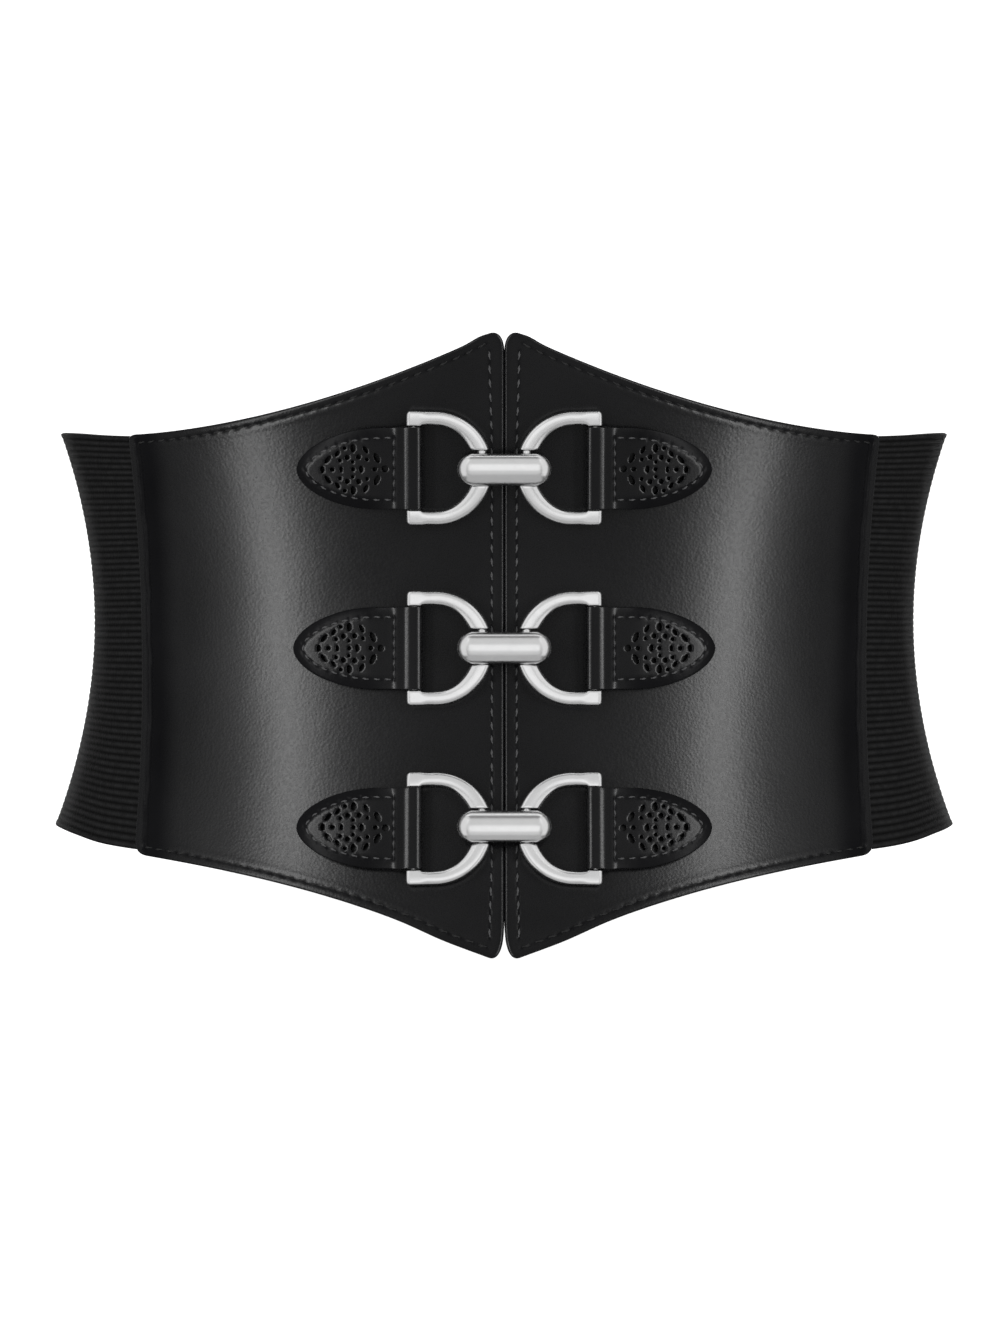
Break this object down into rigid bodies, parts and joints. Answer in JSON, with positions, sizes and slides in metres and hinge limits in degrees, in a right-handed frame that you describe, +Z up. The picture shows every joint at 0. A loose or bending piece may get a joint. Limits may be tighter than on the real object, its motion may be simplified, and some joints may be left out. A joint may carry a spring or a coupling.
{
  "type": "corset belt",
  "caption": "Wide waist-shaped belt of two pointed leather front panels and a ribbed elastic band, closed by ring and bar links on pierced tabs.",
  "frame": {"origin": "on the axis of the waist opening, level with the middle closure", "axes": "+Z up, the front faces -Y, and +X runs from the wearer's right side to the left"},
  "size_m": [0.2878, 0.2093, 0.1897],
  "materials": {
    "leather": "black leather with a fine grain and a soft sheen",
    "tab_leather": "black pierced leather, matt, with polished edges",
    "elastic": "black ribbed elastic webbing, matt",
    "metal": "cast metal, nickel plated, satin"
  },
  "bodies": {
    "root": {"panel_left": "leather", "panel_right": "leather", "elastic_band": "elastic", "tab_left_upper": "tab_leather", "ring_left_upper": "metal", "tab_right_upper": "tab_leather", "ring_right_upper": "metal", "link_bar_upper": "metal", "tab_left_middle": "tab_leather", "ring_left_middle": "metal", "tab_right_middle": "tab_leather", "ring_right_middle": "metal", "link_bar_middle": "metal", "tab_left_lower": "tab_leather", "ring_left_lower": "metal", "tab_right_lower": "tab_leather", "ring_right_lower": "metal", "link_bar_lower": "metal"}
  },
  "joints": []
}
